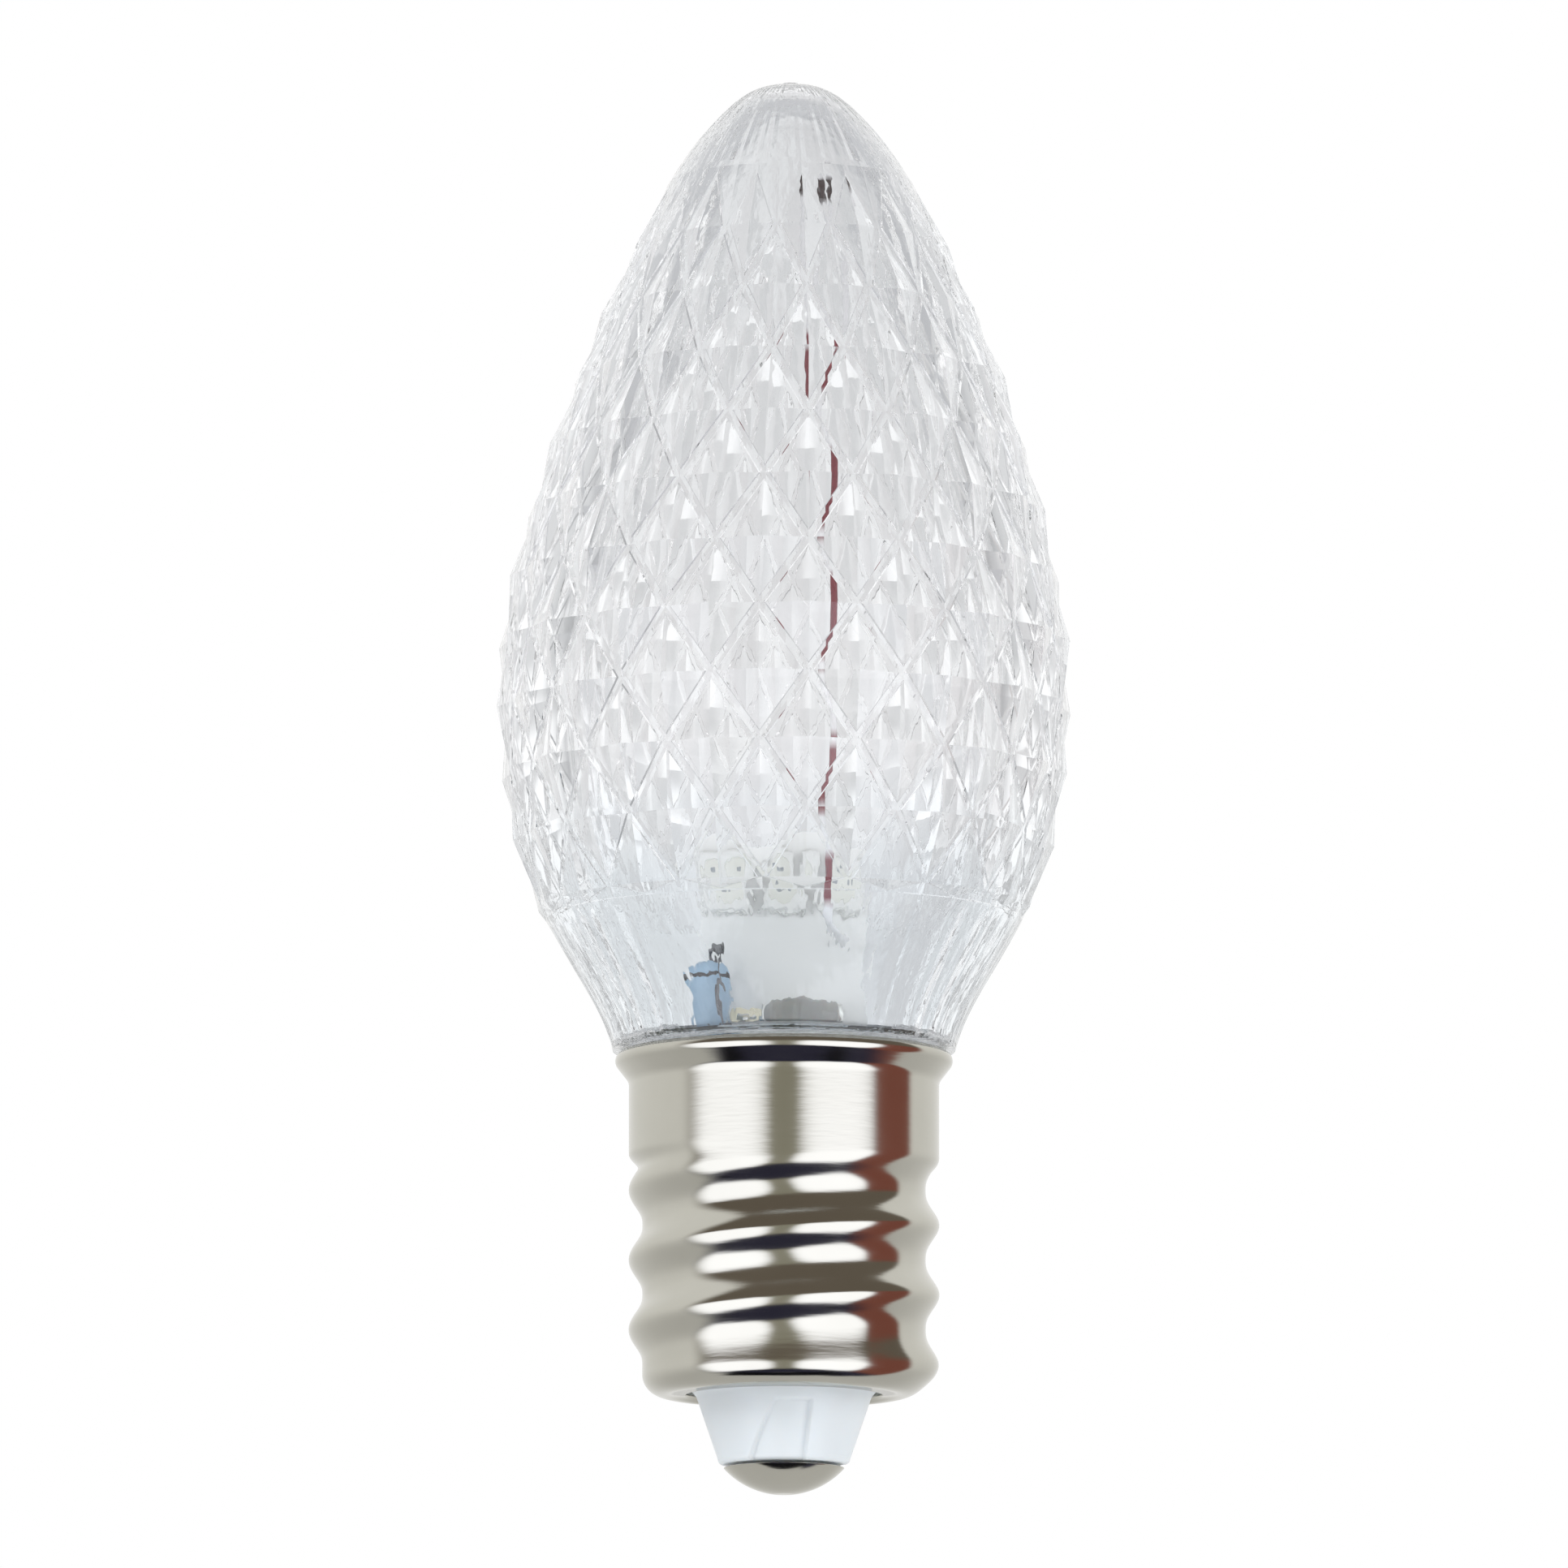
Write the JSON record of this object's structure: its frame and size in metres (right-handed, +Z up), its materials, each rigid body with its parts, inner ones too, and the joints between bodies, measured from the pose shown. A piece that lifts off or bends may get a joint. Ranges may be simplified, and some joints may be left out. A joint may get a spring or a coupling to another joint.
{
  "type": "christmas light bulb",
  "caption": "Clear candle-shaped LED christmas light bulb with a lattice of raised diamonds on its lens, a nickel screw base and a domed centre contact.",
  "frame": {"origin": "lowest point of the centre contact, on the bulb's axis", "axes": "+Z up the bulb's axis, from the centre contact to the tip of the lens; the front of the board looks along -Y"},
  "size_m": [0.0218, 0.0218, 0.0541],
  "materials": {
    "clear_plastic": "clear moulded, polished",
    "nickel_plate": "bright nickel plating on rolled brass sheet",
    "white_plastic": "bluish white moulding, satin",
    "board_white": "white coated circuit board",
    "led_white": "white moulded package",
    "resistor_blue": "blue coating",
    "capacitor_grey": "grey ceramic",
    "chip_black": "black moulded package",
    "tinned_wire": "tinned copper",
    "solder": "bright solder"
  },
  "bodies": {
    "root": {"lens_cover": "clear_plastic", "screw_shell": "nickel_plate", "base_insulator": "white_plastic", "tip_contact": "nickel_plate", "led_board": "board_white", "led_front_1": "led_white", "led_front_2": "led_white", "led_front_3": "led_white", "led_back_1": "led_white", "led_back_2": "led_white", "led_back_3": "led_white", "dropper_resistor": "resistor_blue", "dropper_resistor_upper_lead": "tinned_wire", "dropper_resistor_lower_lead": "tinned_wire", "resistor_upper_solder": "solder", "resistor_lower_solder": "solder", "chip_capacitor": "capacitor_grey", "bridge_rectifier": "chip_black", "rectifier_pin_1": "tinned_wire", "rectifier_pin_2": "tinned_wire", "rectifier_pin_3": "tinned_wire", "rectifier_pin_4": "tinned_wire", "tip_lead": "tinned_wire", "contact_solder": "solder", "shell_lead": "tinned_wire", "shell_lead_solder": "solder", "shell_solder": "solder"}
  },
  "joints": []
}
